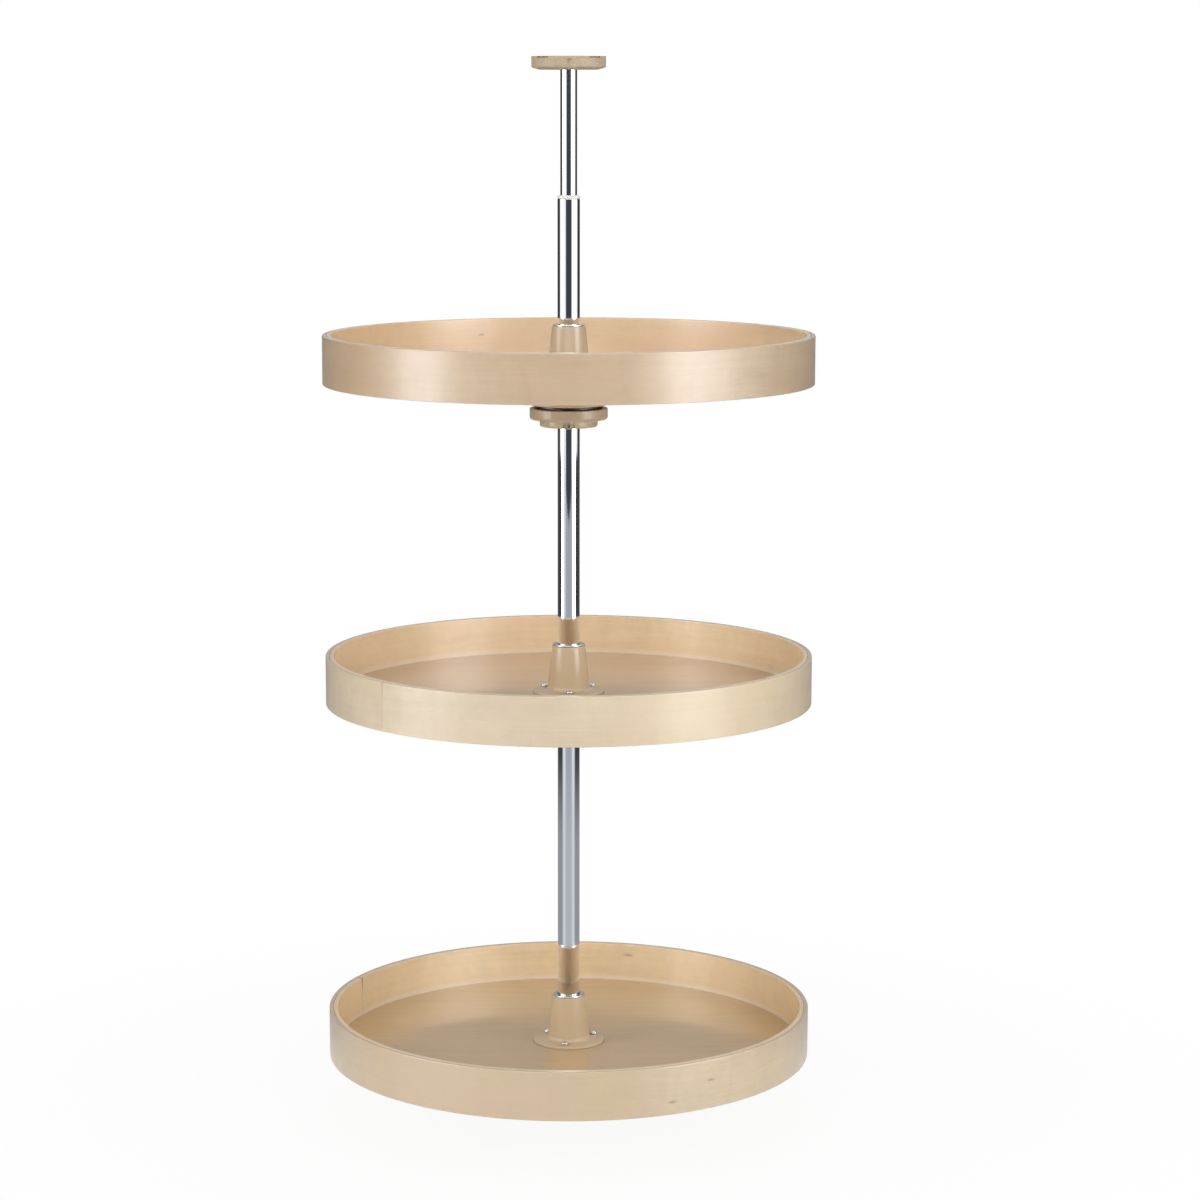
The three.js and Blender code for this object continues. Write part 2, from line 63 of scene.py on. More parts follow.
HUB_FOOT_EDGE = 2.6 * MM
HUB_FOOT_CROWN = 4 * MM
HUB_BASE_RADIUS = 24.6 * MM
HUB_TOP_RADIUS = 19 * MM
HUB_WALL = 3.2 * MM
HUB_MOUTH_RADIUS = 15.9 * MM
HUB_MOUTH_DEPTH = 16 * MM
DECK_BORE_RADIUS = 25 * MM
RING_BORE_RADIUS = 13.2 * MM

SCREW_SHANK_RADIUS = 2 * MM
SCREW_HEAD_RADIUS = 4.2 * MM
SCREW_HEAD_HEIGHT = 2.6 * MM
SCREW_HOLE_DEPTH = 14 * MM  # below the tray's lower edge

HOUSING_WEB = 3.5 * MM
HOUSING_BORE_RADIUS = 13.7 * MM
HOUSING_RACE_INNER_RADIUS = 27.5 * MM
HOUSING_CORE_INNER_RADIUS = 36.5 * MM
HOUSING_CORE_OUTER_RADIUS = 42 * MM
HOUSING_CORE_DEPTH = 19 * MM
BALL_RADIUS = 4 * MM
BALL_CIRCLE_RADIUS = 34 * MM
BALL_COUNT = 8
CAGE_HALF_WIDTH = 5 * MM
CAGE_THICKNESS = 1.6 * MM
COLLAR_DISC_HEIGHT = 8 * MM  # the disc's underside above the collar's lower end
COLLAR_STEP_RADIUS = 33 * MM
COLLAR_NECK_RADIUS = 19 * MM
COLLAR_NECK_BASE_RADIUS = 20 * MM

CLAMP_TILT = radians(40)  # below level
CLAMP_HEAD_OUT = 29 * MM  # from the post's axis
CLAMP_HEAD_DOWN = 47.5 * MM  # below the tray's lower edge
CLAMP_HEAD_RADIUS = 6 * MM
CLAMP_HEAD_HEIGHT = 4.5 * MM
CLAMP_SHANK_RADIUS = 3 * MM
CLAMP_SOCKET_RADIUS = 2.9 * MM
CLAMP_SOCKET_DEPTH = 2.5 * MM
CLAMP_POCKET_RADIUS = 6.8 * MM
CLAMP_POCKET_REACH = 12 * MM  # out past the head

FLANGE_WEB = 3 * MM
FLANGE_CROWN_RADIUS = 33 * MM
FLANGE_EDGE = 12.4 * MM  # the height of its rounded corner
FLANGE_SCREW_CIRCLE = 30.5 * MM
FLANGE_HOLE_RADIUS = 2.5 * MM
FLANGE_HEAD_RADIUS = 4.8 * MM
FLANGE_HEAD_SEAT = 10 * MM
POCKET_INNER_RADIUS = 17.5 * MM
POCKET_OUTER_RADIUS = 38 * MM
POCKET_DEPTH = 11 * MM
POCKET_HALF_ANGLE = radians(31)
GRIP_FROM = 3 * MM
GRIP_TO = 11 * MM
GRIP_WIDE_RADIUS = 4 * MM
GRIP_NARROW_RADIUS = 2.4 * MM
GRIP_OUT = 1.6 * MM  # how far the recess's axis stands outside the side wall

# ---- Finer forms --------------------------------------------------------------------------------
ROUND_STEPS = 96
HOOP_STEPS = 288
SMALL_STEPS = 40  # round a hub screw
ARC_STEPS = 4  # on each rounded edge
RACE_STEPS = 8
SECTOR_STEPS = 10  # on each side of a flange's pocket
HOLD_SHARE = 0.3  # of a rounding, kept flat beside it
ON_AXIS = 1e-7
HOOP_EDGE = 0.45 * MM
HOOP_OUTER_TOP_EDGE = 1.0 * MM
RACE_RADIUS = 4.3 * MM  # of the groove's section
BALL_PLAY = 0.1 * MM
RIM_NOTCH_WIDTH = 17 * MM
RIM_NOTCH_DEPTH = 2.3 * MM
RIM_NOTCH_REACH = 3.3 * MM
RIM_LIP = 0.5 * MM  # the slot's thin lip beside the flat face
BUSH_LIP_ROUNDING = 1.7 * MM
CROSS_HALF_LENGTH = 2.5 * MM
CROSS_HALF_WIDTH = 0.42 * MM
CROSS_DEPTH = 1.5 * MM
SCREW_SEAT_WIDTH = 1.1 * MM
SCREW_SEAT_DEPTH = 0.9 * MM
SEAM_GAP = 0.2 * MM
SEAM_NOTCH_WIDTH = 1.6 * MM
SEAM_NOTCH_DEPTH = 2.4 * MM

# Where each hoop's two ends meet, and how far each screw's cross is turned, in degrees.
SEAMS = {
    "bottom_outer_hoop": 64,
    "bottom_inner_hoop": 157,
    "middle_outer_hoop": -137,
    "middle_inner_hoop": -38,
    "top_outer_hoop": 118,
    "top_inner_hoop": -75,
}
CROSS_TURNS = (12, 55, 31)

RECORD = frame["record"]
BODY_OF = {node: body for body, nodes in RECORD["behaviour"]["bodies"].items() for node in nodes}


def low(node):
    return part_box(node)[0].z


def high(node):
    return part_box(node)[1].z


def radius_of(node):
    """The outer radius of a round node that stands on the post's axis."""
    lowest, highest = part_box(node)
    return max(-lowest.x, -lowest.y, highest.x, highest.y)


# ---- Shape helpers ------------------------------------------------------------------------------
def rounded(corners, steps=ARC_STEPS):
    """Points of a closed outline from corners (r, z) or (r, z, rounding). A point just beside each
    end of a rounding keeps the flat faces flat when they are shaded smooth."""
    points = []
    for i, (r, z, *rounding) in enumerate(corners):
        here = Vector((r, z))
        if not rounding:
            points.append(here)
            continue
        before = (Vector(corners[i - 1][:2]) - here).normalized()
        after = (Vector(corners[(i + 1) % len(corners)][:2]) - here).normalized()
        half = before.angle(after) / 2
        centre = here + (before + after).normalized() * rounding[0] / sin(half)
        reach = rounding[0] / tan(half)
        hold = reach + HOLD_SHARE * rounding[0]
        spoke = here + before * reach - centre
        turn = (pi - 2 * half) * (1 if before.cross(after) < 0 else -1)
        points.append(here + before * hold)
        for k in range(steps + 1):
            points.append(centre + Matrix.Rotation(turn * k / steps, 2) @ spoke)
        points.append(here + after * hold)
    return points


def piece_from(name, shape):
    """A new object from a bmesh, with its faces turned outwards."""
    bmesh.ops.recalc_face_normals(shape, faces=shape.faces)
    mesh = bpy.data.meshes.new(name)
    shape.to_mesh(mesh)
    shape.free()
    piece = bpy.data.objects.new(name, mesh)
    bpy.context.scene.collection.objects.link(piece)
    return piece


def lathe(name, outline, steps=ROUND_STEPS):
    """A solid of revolution about +Z from a closed outline of (radius, height) points."""
    shape = bmesh.new()
    columns = []
    for r, z in outline:
        if r < ON_AXIS:
            columns.append([shape.verts.new((0, 0, z))] * steps)
        else:
            turns = (2 * pi * k / steps for k in range(steps))
            columns.append([shape.verts.new((r * cos(a), r * sin(a), z)) for a in turns])
    for first, second in zip(columns[-1:] + columns[:-1], columns):
        if first[0] is first[1] and second[0] is second[1]:
            continue
        for k in range(steps):
            after = (k + 1) % steps
            corners = dict.fromkeys((first[k], first[after], second[after], second[k]))
            shape.faces.new(list(corners))
    return piece_from(name, shape)


def loft(name, sections):
    """A closed solid through sections that have the same number of points each."""
    shape = bmesh.new()
    rings = [[shape.verts.new(point) for point in section] for section in sections]
    shape.faces.new(rings[0])
    shape.faces.new(rings[-1])
    for first, second in zip(rings, rings[1:]):
        for k in range(len(first)):
            shape.faces.new((first[k - 1], first[k], second[k], second[k - 1]))
    return piece_from(name, shape)


def prism(name, outline, bottom, top):
    return loft(name, [[(x, y, z) for x, y in outline] for z in (bottom, top)])


def rod(name, radius, bottom, top, steps=32, top_radius=None):
    ends = ((radius, bottom), (radius if top_radius is None else top_radius, top))
    turns = [2 * pi * k / steps for k in range(steps)]
    return loft(name, [[(r * cos(a), r * sin(a), z) for a in turns] for r, z in ends])


def moved(piece, matrix):
    piece.data.transform(matrix)
    return piece


def shifted(piece, x, y, z=0.0):
    return moved(piece, Matrix.Translation((x, y, z)))


def at_angle(piece, radius, angle):
    """Moves a shape out along +X and turns it round the post's axis."""
    return moved(piece, Matrix.Rotation(angle, 4, "Z") @ Matrix.Translation((radius, 0, 0)))


def carve(piece, cutters):
    """Cuts the cutters out of the piece and removes them."""
    for cutter in cutters:
        cut = piece.modifiers.new("cut", "BOOLEAN")
        cut.operation = "DIFFERENCE"
        cut.solver = "EXACT"
        cut.object = cutter
    graph = bpy.context.evaluated_depsgraph_get()
    cut_mesh = bpy.data.meshes.new_from_object(piece.evaluated_get(graph))
    piece.modifiers.clear()
    piece.data = cut_mesh
    for cutter in cutters:
        bpy.data.objects.remove(cutter)
    return piece


def smooth(piece, angle=32):
    piece.data.shade_smooth()
    piece.data.set_sharp_from_angle(angle=radians(angle))


def dress(piece, node, material):
    """Finishes a piece that stands for one CAD node."""
    smooth(piece)
    piece.data.materials.clear()
    piece.data.materials.append(material)
    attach(piece, BODY_OF[node])
    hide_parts(node)


# ---- Materials ----------------------------------------------------------------------------------
def srgb(red, green, blue):
    """A colour written as 0 to 255, as the linear RGBA that Blender's sockets take."""
    linear = []
    for value in (red / 255, green / 255, blue / 255):
        linear.append(value / 12.92 if value <= 0.04045 else ((value + 0.055) / 1.055) ** 2.4)
    return (*linear, 1)


def scaled(colour, factor):
    return (*(channel * factor for channel in colour[:3]), 1)


class Graph:
    """Wires the nodes of one material or world."""

    def __init__(self, tree):
        self.tree = tree

    def put(self, node, inputs):
        for key, value in inputs.items():
            if isinstance(value, bpy.types.NodeSocket):
                self.tree.links.new(value, node.inputs[key])
            else:
                node.inputs[key].default_value = value

    def add(self, kind, inputs=None, output=0, **settings):
        node = self.tree.nodes.new("ShaderNode" + kind)
        for key, value in settings.items():
            setattr(node, key, value)
        self.put(node, inputs or {})
        return node.outputs[output]

    def math(self, operation, *values):
        return self.add("Math", dict(enumerate(values)), operation=operation)

    def split(self, vector):
        node = self.add("SeparateXYZ", {"Vector": vector}).node
        return [node.outputs[axis] for axis in "XYZ"]

    def join(self, x, y, z):
        return self.add("CombineXYZ", {"X": x, "Y": y, "Z": z})

    def length(self, vector):
        return self.add("VectorMath", {0: vector}, output=1, operation="LENGTH")

    def mix(self, factor, first, second):
        """A blend of two colours. On a Mix node set to colour they are inputs 6 and 7, output 2."""
        return self.add("Mix", {0: factor, 6: first, 7: second}, output=2, data_type="RGBA")

    def laid_on(self, colour, mask, strength, other):
        """The colour, with the other one laid on it in that strength where the mask is 1."""
        return self.mix(self.math("MULTIPLY", mask, strength), colour, other)

    def spread(self, value, start, end, least, most, interpolation="LINEAR"):
        """Maps the value from start..end to least..most, and holds it there beyond them."""
        inputs = {"Value": value, "From Min": start, "From Max": end, "To Min": least, "To Max": most}
        return self.add("MapRange", inputs, interpolation_type=interpolation)

    def step(self, value, start, end, least=0.0, most=1.0):
        """least at start, most at end and smooth between."""
        return self.spread(value, start, end, least, most, "SMOOTHSTEP")

    def noise(self, vector, scale=1.0, detail=2.0, distortion=0.0):
        inputs = {"Vector": vector, "Scale": scale, "Detail": detail, "Distortion": distortion}
        return self.add("TexNoise", inputs)

    def sum(self, layers):
        """0.5 plus each layer's departure from 0.5 times its weight."""
        total = 0.5 - sum(weight for _, weight in layers) / 2
        for value, weight in layers:
            total = self.math("MULTIPLY_ADD", value, weight, total)
        return total


class Surface(Graph):
    """A material with a Principled shader."""

    def __init__(self, name, **constants):
        self.material = bpy.data.materials.new(name)
        self.material.use_nodes = True
        super().__init__(self.material.node_tree)
        self.shader = self.tree.nodes["Principled BSDF"]
        self.put(self.shader, {key.replace("_", " "): value for key, value in constants.items()})

    def place(self, output="Object"):
        return self.add("TexCoord", output=output)

    def bump(self, height, distance, strength=1.0):
        inputs = {"Height": height, "Distance": distance, "Strength": strength}
        self.put(self.shader, {"Normal": self.add("Bump", inputs)})


# Sizes in the wood's figure
GRAIN_SWAY = 16 * MM  # how far the grain wanders off a straight line
BOUNCE_LINE_HEIGHT = 7 * MM  # the height of the painted light line above the deck
KNOT_STRETCH = 3.4  # a knot's length to its height
SEAM_WIDTH = 0.5 * MM
SEAM_STAIN = 1.3 * MM
SEAM_FADE = 30 * MM  # the stain's length down from the rim
SEAM_WEDGE = 3.6 * MM  # the stain's reach at the top of an inner hoop's seam

# Painted light: the pale colour of light bounced off a tray's glossy deck onto the base of its inner
# strip.
DECK_BOUNCE_LIGHT = srgb(248, 236, 220)
KNOT_BROWN = srgb(128, 98, 66)
SEAM_BROWN = srgb(154, 106, 58)
GLUE_BROWN = srgb(120, 94, 66)
HONEY_TINT = (1.03, 0.95, 0.84)
BLUSH_TINT = (1.02, 0.95, 0.98)


def stretched(graph, x, y, z, scales):
    """Coordinates in metres, drawn out by a number of features per metre on each axis."""
    parts = [graph.math("MULTIPLY", value, scale) for value, scale in zip((x, y, z), scales)]
    return graph.join(*parts)


def swayed(wood, along, across, scales, reach):
    """The place across the grain, as the grain wanders slowly off a straight line."""
    sway = wood.noise(stretched(wood, along, across, 1.0, scales), detail=1)
    return wood.math("MULTIPLY_ADD", sway, reach, across)


def grain_of(wood, along, across, seed):
    """A function that draws a noise by its features per metre along and across the grain."""

    def grain(along_scale, across_scale, layer, **noise):
        drawn = stretched(wood, along, across, 1.0, (along_scale, across_scale, seed + layer))
        return wood.noise(drawn, **noise)

    return grain


def with_pores(wood, colour, pores, tone):
    return wood.laid_on(colour, wood.step(pores, 0.62, 0.78), 0.3, scaled(tone, 0.55))


def with_knot(wood, colour, knot, along, z, streaks, seam, radius):
    """Adds a knot (degrees, height, size) that is drawn out along the grain."""
    degrees, height, size = knot
    centre = ((radians(degrees) - seam) % (2 * pi) - pi) * radius
    du = wood.math("DIVIDE", wood.math("SUBTRACT", along, centre), size * KNOT_STRETCH)
    dz = wood.math("DIVIDE", wood.math("SUBTRACT", z, height), size)
    far = wood.length(wood.join(du, dz, 0.0))
    far = wood.math("ADD", far, wood.math("MULTIPLY", streaks, 0.8))
    return wood.laid_on(colour, wood.step(far, 2.0, 0.6), 0.5, KNOT_BROWN)


def with_seam(wood, colour, along, z, streaks, radius, top, inner):
    """Browns the strip's two ends where they meet, in a line that tapers and fades downwards."""
    from_end = wood.math("SUBTRACT", pi * radius, wood.math("ABSOLUTE", along))
    fade = wood.spread(z, top - SEAM_FADE, top, 0.1, 0.9 if inner else 0.65)
    ragged = wood.math("MULTIPLY_ADD", streaks, 3 * SEAM_STAIN, -0.9 * SEAM_STAIN)
    reach = wood.math("MAXIMUM", ragged, 1.6 * SEAM_WIDTH)
    if inner:
        reach = wood.math("MAXIMUM", reach, wood.math("MULTIPLY", fade, SEAM_WEDGE))
    stain = wood.math("MULTIPLY", wood.step(from_end, reach, SEAM_WIDTH / 2), fade)
    return wood.mix(stain, colour, SEAM_BROWN)


def with_plies(wood, colour, tone, flat, radius, thickness):
    """Adds three plies on the strip's upper and lower edges, the middle one across the grain."""
    depth = wood.math("DIVIDE", wood.math("SUBTRACT", radius, wood.length(flat)), thickness)
    middle = wood.step(wood.math("ABSOLUTE", wood.math("SUBTRACT", depth, 0.5)), 0.19, 0.15)
    edge = wood.laid_on(colour, middle, 0.35, scaled(tone, 0.72))
    line = wood.step(wood.math("PINGPONG", wood.math("MULTIPLY", depth, 3.0), 0.5), 0.1, 0.02)
    glue = wood.math("MULTIPLY", line, wood.step(depth, 0.2, 0.25))
    edge = wood.laid_on(edge, glue, 0.5, GLUE_BROWN)
    steepness = wood.math("ABSOLUTE", wood.split(wood.place("Normal"))[2])
    return wood.mix(wood.step(steepness, 0.75, 0.95), colour, edge)


def bent_birch(name, tone, seam, radius, top, thickness, seed, foot=None, knots=()):
    """Lacquered birch whose grain runs along a bent strip, with its ply lines on the strip's edges.
    foot is the deck's height on an inner strip, where painted light, a pale band for light bounced
    off the deck's gloss, runs along the strip's base. knots are (degrees, height, size) with the last
    two in metres."""
    lustre = 1.85 if foot else 1.5
    wood = Surface(name, Coat_Weight=1.0, Coat_Roughness=0.27, Coat_IOR=1.6, IOR=lustre)
    x, y, z = wood.split(wood.place())
    flat = wood.join(x, y, 0.0)
    turned = wood.add(
        "VectorRotate", {"Vector": flat, "Angle": -seam - pi}, rotation_type="Z_AXIS"
    )
    tx, ty, _ = wood.split(turned)
    along = wood.math("MULTIPLY", wood.math("ARCTAN2", ty, tx), radius)
    grain = grain_of(wood, along, swayed(wood, along, z, (7, 13, seed), GRAIN_SWAY), seed)
    broad = grain(5, 26, 0.1, detail=2)
    streaks = grain(7, 190, 0.2, detail=4, distortion=0.6)
    fibres = grain(70, 1500, 0.3, detail=3)
    curl = grain(24, 14, 0.4, detail=2, distortion=1.2)
    mottle = grain(85, 85, 0.7, detail=1, distortion=0.6)
    pores = grain(160, 2600, 0.6, detail=2)
    honey = grain(3.1, 8, 0.5, detail=1)
    blush = grain(8, 14, 0.8, detail=1)

    layers = [(broad, 0.7), (streaks, 0.6), (fibres, 0.4), (curl, 0.6), (mottle, 0.25)]
    colour = wood.mix(wood.sum(layers), scaled(tone, 0.8), scaled(tone, 1.16))
    for patches, tint in ((honey, HONEY_TINT), (blush, BLUSH_TINT)):
        tinted = (*(channel * factor for channel, factor in zip(tone, tint)), 1)
        colour = wood.laid_on(colour, wood.step(patches, 0.45, 0.7), 0.55, tinted)
    colour = with_pores(wood, colour, pores, tone)
    if foot:
        # Painted light: a pale band along the inner strip's base stands for light bounced off the
        # deck's gloss.
        bounce_light = wood.step(z, foot + BOUNCE_LINE_HEIGHT, foot + BOUNCE_LINE_HEIGHT / 3)
        colour = wood.laid_on(colour, bounce_light, 0.5, DECK_BOUNCE_LIGHT)
    for knot in knots:
        colour = with_knot(wood, colour, knot, along, z, streaks, seam, radius)
    colour = with_seam(wood, colour, along, z, streaks, radius, top, foot is not None)
    colour = with_plies(wood, colour, tone, flat, radius, thickness)
    roughness = wood.spread(streaks, 0.3, 0.7, 0.36, 0.5)
    wood.put(wood.shader, {"Base Color": colour, "Roughness": roughness})
    relief = wood.sum([(fibres, 0.3), (streaks, 0.3), (pores, -0.15), (curl, 0.9), (mottle, 0.15)])
    wood.bump(relief, 0.24 * MM, 0.6)
    return wood.material


def deck_birch(name, tone, seed):
    """Birch veneer under a gloss lacquer, with its grain from left to right."""
    wood = Surface(name, Coat_Weight=0.8, Coat_Roughness=0.1, IOR=1.4)
    x, y, _ = wood.split(wood.place())
    grain = grain_of(wood, x, swayed(wood, x, y, (4, 9, seed), 3 * GRAIN_SWAY), seed)
    broad = grain(2.5, 13, 0.1, detail=2, distortion=0.5)
    streaks = grain(3.5, 95, 0.2, detail=4, distortion=0.9)
    fibres = grain(45, 1200, 0.3, detail=3)
    curl = grain(30, 8, 0.4, detail=1)
    pores = grain(140, 2400, 0.5, detail=2)
    figure = wood.sum([(broad, 0.6), (streaks, 0.7), (fibres, 0.35), (curl, 0.25)])
    colour = wood.mix(figure, scaled(tone, 0.82), scaled(tone, 1.14))
    colour = with_pores(wood, colour, pores, tone)
    wood.put(wood.shader, {"Base Color": colour, "Roughness": 0.34})
    wood.bump(wood.sum([(fibres, 0.5), (streaks, 0.5)]), 0.06 * MM, 0.5)
    return wood.material


def moulded_plastic(name, tone, smoothest=0.2):
    """Plastic with faint clouds in its colour and gloss, and a fine orange peel."""
    plastic = Surface(name, IOR=1.5)
    place = plastic.place()
    cloud = plastic.noise(place, scale=38, detail=2)
    peel = plastic.noise(place, scale=260, detail=1)
    colour = plastic.mix(cloud, scaled(tone, 0.94), scaled(tone, 1.05))
    roughness = plastic.spread(cloud, 0, 1, smoothest, smoothest + 0.1)
    plastic.put(plastic.shader, {"Base Color": colour, "Roughness": roughness})
    plastic.bump(peel, 0.03 * MM, 0.3)
    return plastic.material


def plated_tube(name):
    """Bright chrome with faint draw lines along the tube."""
    chrome = Surface(name, Metallic=1.0)
    x, y, z = chrome.split(chrome.place())
    lines = chrome.noise(stretched(chrome, x, y, z, (900, 900, 9)), detail=3)
    haze = chrome.noise(stretched(chrome, x, y, z, (30, 30, 12)), detail=2)
    colour = chrome.mix(haze, (0.86, 0.87, 0.89, 1), (0.92, 0.93, 0.94, 1))
    roughness = chrome.spread(lines, 0, 1, 0.02, 0.06)
    chrome.put(chrome.shader, {"Base Color": colour, "Roughness": roughness})
    chrome.bump(lines, 0.008 * MM, 0.3)
    return chrome.material


def plain_metal(name, tone, smoothest, roughest):
    """Metal with a fine grain in its colour and gloss."""
    metal = Surface(name, Metallic=1.0)
    x, y, z = metal.split(metal.place())
    grain = metal.noise(stretched(metal, x, y, z, (700, 700, 2200)), detail=3)
    colour = metal.mix(grain, scaled(tone, 0.9), scaled(tone, 1.08))
    roughness = metal.spread(grain, 0, 1, smoothest, roughest)
    metal.put(metal.shader, {"Base Color": colour, "Roughness": roughness})
    metal.bump(grain, 0.02 * MM, 0.3)
    return metal.material


def white_nylon(name):
    nylon = Surface(name)
    place = nylon.place()
    cloud = nylon.noise(place, scale=60, detail=2)
    fine = nylon.noise(place, scale=1500, detail=1)
    colour = nylon.mix(cloud, srgb(228, 226, 220), srgb(241, 240, 236))
    nylon.put(nylon.shader, {"Base Color": colour, "Roughness": 0.42})
    nylon.bump(fine, 0.03 * MM, 0.3)
    return nylon.material


BEIGE = moulded_plastic("moulded_beige", srgb(205, 184, 153))
MATT_BEIGE = moulded_plastic("matt_beige", srgb(181, 163, 136), 0.5)
CHROME = plated_tube("chrome_tube")
RING_METAL = plain_metal("bright_ring", (0.8, 0.82, 0.86, 1), 0.1, 0.2)
ZINC = plain_metal("bright_zinc", (0.72, 0.73, 0.76, 1), 0.18, 0.3)
STEEL = plain_metal("bearing_steel", (0.11, 0.1, 0.095, 1), 0.3, 0.45)
NYLON = white_nylon("white_nylon")


# ---- Trays --------------------------------------------------------------------------------------
# Each hoop's birch tone. The inner hoops' tones are painted paler than the outer hoops' of the same
# birch: painted light that makes up for the shade inside each tray.
HOOP_TONES_AND_PAINTED_LIGHT = {
    "bottom_outer_hoop": srgb(208, 188, 158),
    "bottom_inner_hoop": srgb(238, 215, 173),
    "middle_outer_hoop": srgb(215, 198, 170),
    "middle_inner_hoop": srgb(244, 218, 176),
    "top_outer_hoop": srgb(192, 168, 139),
    "top_inner_hoop": srgb(237, 208, 169),
}
DECK_TONES = {
    "bottom": srgb(201, 170, 123),
    "middle": srgb(197, 165, 126),
    "top": srgb(199, 167, 125),
}
HOOP_SEED_STEP = 7.3  # so that no two hoops or decks show the same grain
DECK_SEED_STEP = 3.7

# Degrees from +X, height and size, the last two in metres.
KNOTS = {
    "bottom_outer_hoop": ((-66, 0.0893, 0.0015), (-55.8, 0.1073, 0.0013)),
    "bottom_inner_hoop": ((74, 0.117, 0.0018),),
    "top_inner_hoop": ((113, 0.893, 0.0012),),
}


def bent_hoop(tray, layer):
    """One bent strip of the rim, swept round from one of its ends to the other."""
    node = f"{tray}_{layer}_hoop"
    outer, bottom, top = radius_of(node), low(node), high(node)
    inner = outer - hoop_thickness()
    top_edge = HOOP_OUTER_TOP_EDGE if layer == "outer" else HOOP_EDGE
    section = rounded(
        [
            (inner, bottom, HOOP_EDGE),
            (outer, bottom, HOOP_EDGE),
            (outer, top, top_edge),
            (inner, top, HOOP_EDGE),
        ]
    )
    seam = radians(SEAMS[node])
    half_gap = SEAM_GAP / outer / 2
    sections = []
    for k in range(HOOP_STEPS + 1):
        turn = seam + half_gap + k * 2 * (pi - half_gap) / HOOP_STEPS
        sections.append([(r * cos(turn), r * sin(turn), z) for r, z in section])
    seed = HOOP_SEED_STEP * list(SEAMS).index(node)
    foot = high(tray + "_deck") if layer == "inner" else None
    knots = KNOTS.get(node, ())
    tone = HOOP_TONES_AND_PAINTED_LIGHT[node]
    material = bent_birch(node, tone, seam, outer, top, hoop_thickness(), seed, foot, knots)
    strip = loft(node + "_strip", sections)
    if layer == "outer":
        carve(strip, [seam_notch(outer, top, seam)])
    dress(strip, node, material)


def seam_notch(radius, top, seam):
    """A small nick in the rim where the strip's two ends meet."""
    reach = hoop_thickness() / 2
    sections = []
    for out in (-3 * reach, reach):
        sections.append(
            [
                (out, 0, top - SEAM_NOTCH_DEPTH),
                (out, SEAM_NOTCH_WIDTH / 2, top + MM),
                (out, -SEAM_NOTCH_WIDTH / 2, top + MM),
            ]
        )
    return at_angle(loft("notch", sections), radius, seam)


def hoop_thickness():
    return radius_of("top_outer_hoop") - radius_of("top_inner_hoop") - SEAT


def screw_places(tray):
    """The centre of each of the tray's hub screws."""
    boxes = [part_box(f"{tray}_hub_screw_{i}") for i in (1, 2, 3)]
    return [(lowest + highest) / 2 for lowest, highest in boxes]


def screw_holes(tray, bottom, top):
    hole_radius = SCREW_SHANK_RADIUS + SEAT
    return [
        shifted(rod("hole", hole_radius, bottom, top), place.x, place.y)
        for place in screw_places(tray)
    ]


def deck(tray):
    node = tray + "_deck"
    bottom, top = low(node), high(node)
    seat = radius_of(tray + "_hub") + SEAT
    outline = rounded(
        [
            (DECK_BORE_RADIUS, bottom, 0.4 * MM),
            (radius_of(node), bottom, 0.4 * MM),
            (radius_of(node), top, 0.3 * MM),
            (seat, top),
            (seat, top - SEAT),
            (DECK_BORE_RADIUS, top - SEAT),
        ]
    )
    board = lathe(tray + "_deck_board", outline, HOOP_STEPS)
    carve(board, screw_holes(tray, bottom - MM, top + MM))
    seed = DECK_SEED_STEP * TRAYS.index(tray)
    dress(board, node, deck_birch(node, DECK_TONES[tray], seed))


def hub(tray):
    node = tray + "_hub"
    floor = high(tray + "_deck")
    top = high(node)
    sleeve_bore = HUB_BASE_RADIUS - HUB_WALL
    crown = floor + HUB_FOOT_CROWN
    outline = rounded(
        [
            (sleeve_bore, low(node)),
            (HUB_BASE_RADIUS, low(node), 0.5 * MM),
            (HUB_BASE_RADIUS, floor),
            (radius_of(node), floor, 0.3 * MM),
            (radius_of(node), floor + HUB_FOOT_EDGE, 1.1 * MM),
            (HUB_BASE_RADIUS, crown, 4.5 * MM),
            (HUB_TOP_RADIUS, top, 0.9 * MM),
            (HUB_MOUTH_RADIUS, top, 0.4 * MM),
            (HUB_MOUTH_RADIUS, top - HUB_MOUTH_DEPTH),
            (sleeve_bore, crown),
        ]
    )
    cutters = screw_holes(tray, floor - MM, crown + MM)
    seat_inner = SCREW_HEAD_RADIUS + SEAT
    seat_outer = seat_inner + SCREW_SEAT_WIDTH
    seat_floor = crown - SCREW_SEAT_DEPTH
    for place in screw_places(tray):
        groove = [
            (seat_inner, seat_floor),
            (seat_outer, seat_floor),
            (seat_outer, crown + MM),
            (seat_inner, crown + MM),
        ]
        cutters.append(shifted(lathe("groove", groove, SMALL_STEPS), place.x, place.y))
    moulding = carve(lathe(tray + "_hub_moulding", outline), cutters)
    dress(moulding, node, BEIGE)


def hub_ring(tray):
    node = tray + "_hub_ring"
    mouth_edge = high(tray + "_hub") + SEAT
    sleeve = HUB_MOUTH_RADIUS - SEAT
    outline = rounded(
        [
            (RING_BORE_RADIUS, low(node)),
            (sleeve, low(node), 0.4 * MM),
            (sleeve, mouth_edge),
            (radius_of(node), mouth_edge, 0.2 * MM),
            (radius_of(node), high(node), 0.7 * MM),
            (RING_BORE_RADIUS, high(node), 0.5 * MM),
        ]
    )
    dress(lathe(tray + "_hub_ring_turned", outline), node, RING_METAL)


def cross_blade(face, turn):
    """One slot of a cross recess, narrower and shorter at its floor."""
    sections = []
    for z, size in ((face - CROSS_DEPTH, 0.45), (face + MM, 1.0)):
        a, b = CROSS_HALF_LENGTH * size, CROSS_HALF_WIDTH * (0.6 + 0.4 * size)
        sections.append([(-a, -b, z), (a, -b, z), (a, b, z), (-a, b, z)])
    return at_angle(loft("blade", sections), 0, turn)


